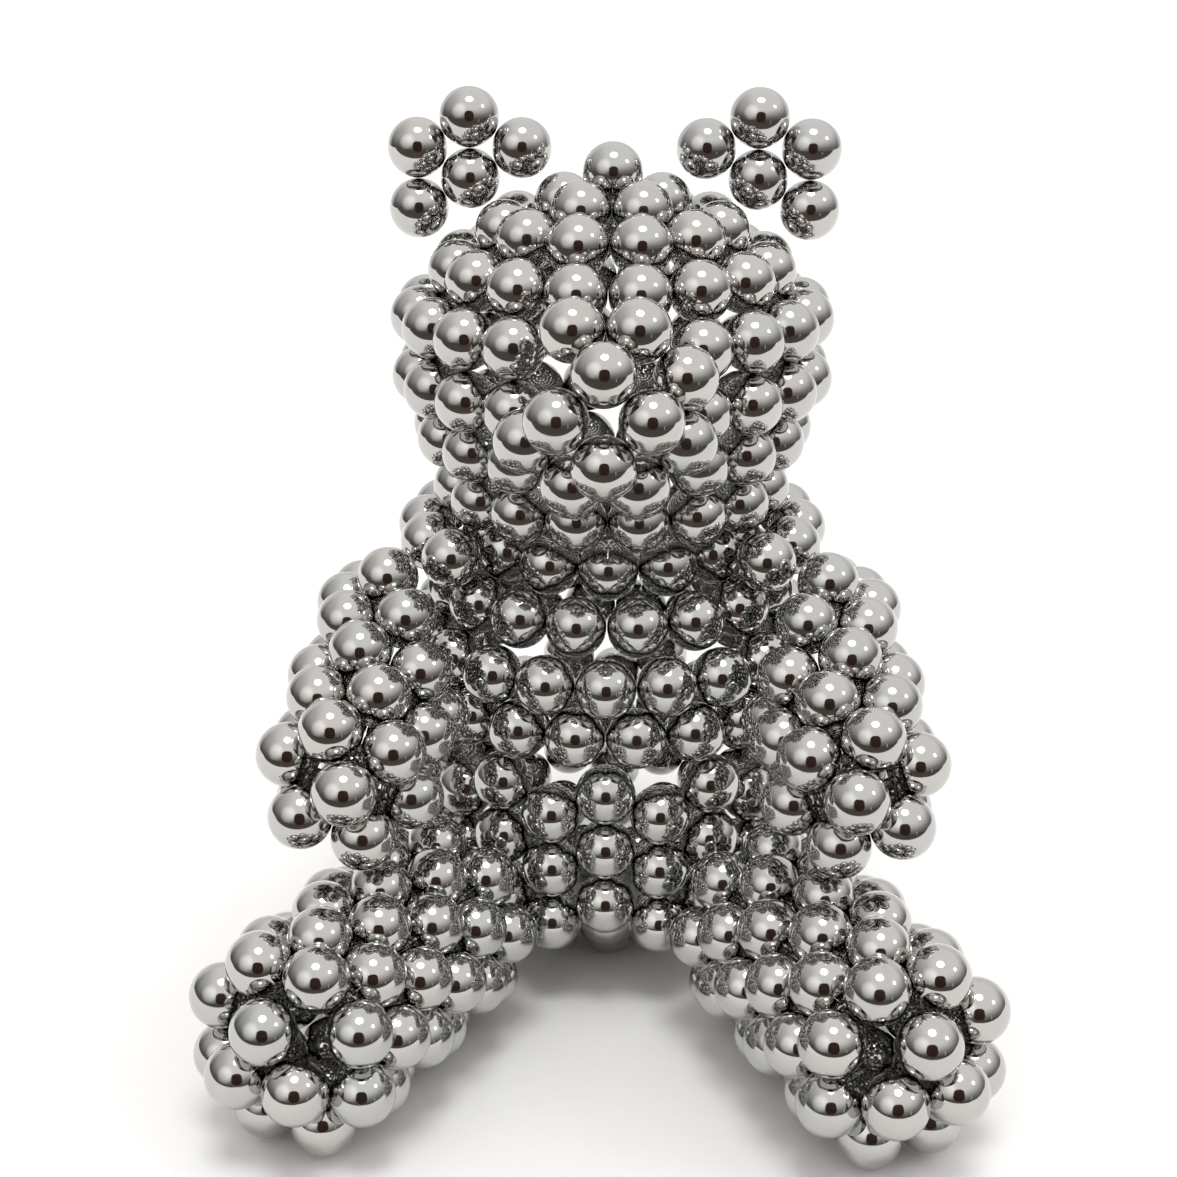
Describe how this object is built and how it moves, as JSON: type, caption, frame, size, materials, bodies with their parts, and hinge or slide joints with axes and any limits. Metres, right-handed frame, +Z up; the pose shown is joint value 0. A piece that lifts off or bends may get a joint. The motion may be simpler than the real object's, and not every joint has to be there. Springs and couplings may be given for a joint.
{
  "type": "magnetic desk sculpture",
  "caption": "Sitting bear laid up from polished magnetic balls: hollow torso, turning head with a short muzzle, lift-off ears, arms that raise and legs that swing out.",
  "frame": {"origin": "on the table, on the upright axis of the torso and head", "axes": "+Z up; the bear faces -Y; +X is to the right as seen from the front"},
  "size_m": [0.0614, 0.063, 0.0745],
  "materials": {
    "nickel_ball": "mirror-polished nickel plate"
  },
  "bodies": {
    "torso": {"torso_ring_1": "nickel_ball", "torso_ring_2": "nickel_ball", "torso_ring_3": "nickel_ball", "torso_ring_4": "nickel_ball", "torso_ring_5": "nickel_ball", "torso_ring_6": "nickel_ball", "torso_ring_7": "nickel_ball", "torso_ring_8": "nickel_ball", "torso_ring_9": "nickel_ball", "torso_shoulder_left": "nickel_ball", "torso_shoulder_right": "nickel_ball"},
    "head": {"head_ring_1": "nickel_ball", "head_ring_2": "nickel_ball", "head_ring_3": "nickel_ball", "head_ring_4": "nickel_ball", "head_ring_5": "nickel_ball", "head_ring_6": "nickel_ball", "head_ring_7": "nickel_ball", "head_ring_8": "nickel_ball", "muzzle_ring_1": "nickel_ball", "muzzle_ring_2": "nickel_ball"},
    "arm_left": {"arm_left_tip": "nickel_ball", "arm_left_ring_1": "nickel_ball", "arm_left_ring_2": "nickel_ball", "arm_left_ring_3": "nickel_ball", "arm_left_ring_4": "nickel_ball", "arm_left_top": "nickel_ball"},
    "leg_left": {"leg_left_sole": "nickel_ball", "leg_left_ring_1": "nickel_ball", "leg_left_ring_2": "nickel_ball", "leg_left_ring_3": "nickel_ball", "leg_left_ring_4": "nickel_ball", "leg_left_ring_5": "nickel_ball", "leg_left_ring_6": "nickel_ball"},
    "ear_left": {"ear_left_heart": "nickel_ball", "ear_left_arch": "nickel_ball"},
    "arm_right": {"arm_right_tip": "nickel_ball", "arm_right_ring_1": "nickel_ball", "arm_right_ring_2": "nickel_ball", "arm_right_ring_3": "nickel_ball", "arm_right_ring_4": "nickel_ball", "arm_right_top": "nickel_ball"},
    "leg_right": {"leg_right_sole": "nickel_ball", "leg_right_ring_1": "nickel_ball", "leg_right_ring_2": "nickel_ball", "leg_right_ring_3": "nickel_ball", "leg_right_ring_4": "nickel_ball", "leg_right_ring_5": "nickel_ball", "leg_right_ring_6": "nickel_ball"},
    "ear_right": {"ear_right_heart": "nickel_ball", "ear_right_arch": "nickel_ball"}
  },
  "joints": [
    {"name": "head_turn", "type": "hinge", "parent": "torso", "child": "head", "pos_m": [0, 0, 0.0395], "axis": [0, 0, 1], "range_deg": [-35, 35]},
    {"name": "arm_left_raise", "type": "hinge", "parent": "torso", "child": "arm_left", "pos_m": [-0.015, 0.001, 0.0375], "axis": [-1, 0, 0], "range_deg": [0, 25]},
    {"name": "arm_right_raise", "type": "hinge", "parent": "torso", "child": "arm_right", "pos_m": [0.015, 0.001, 0.0375], "axis": [-1, 0, 0], "range_deg": [0, 25]},
    {"name": "leg_left_swing", "type": "hinge", "parent": "torso", "child": "leg_left", "pos_m": [-0.01384, -0.01818, 0.00906], "axis": [0, 0, 1], "range_deg": [-10, 10]},
    {"name": "leg_right_swing", "type": "hinge", "parent": "torso", "child": "leg_right", "pos_m": [0.01384, -0.01818, 0.00906], "axis": [0, 0, 1], "range_deg": [-10, 10]},
    {"name": "ear_left_lift", "type": "slide", "parent": "head", "child": "ear_left", "axis": [0, 0, 1], "range_m": [0, 0.006]},
    {"name": "ear_right_lift", "type": "slide", "parent": "head", "child": "ear_right", "axis": [0, 0, 1], "range_m": [0, 0.006]}
  ]
}
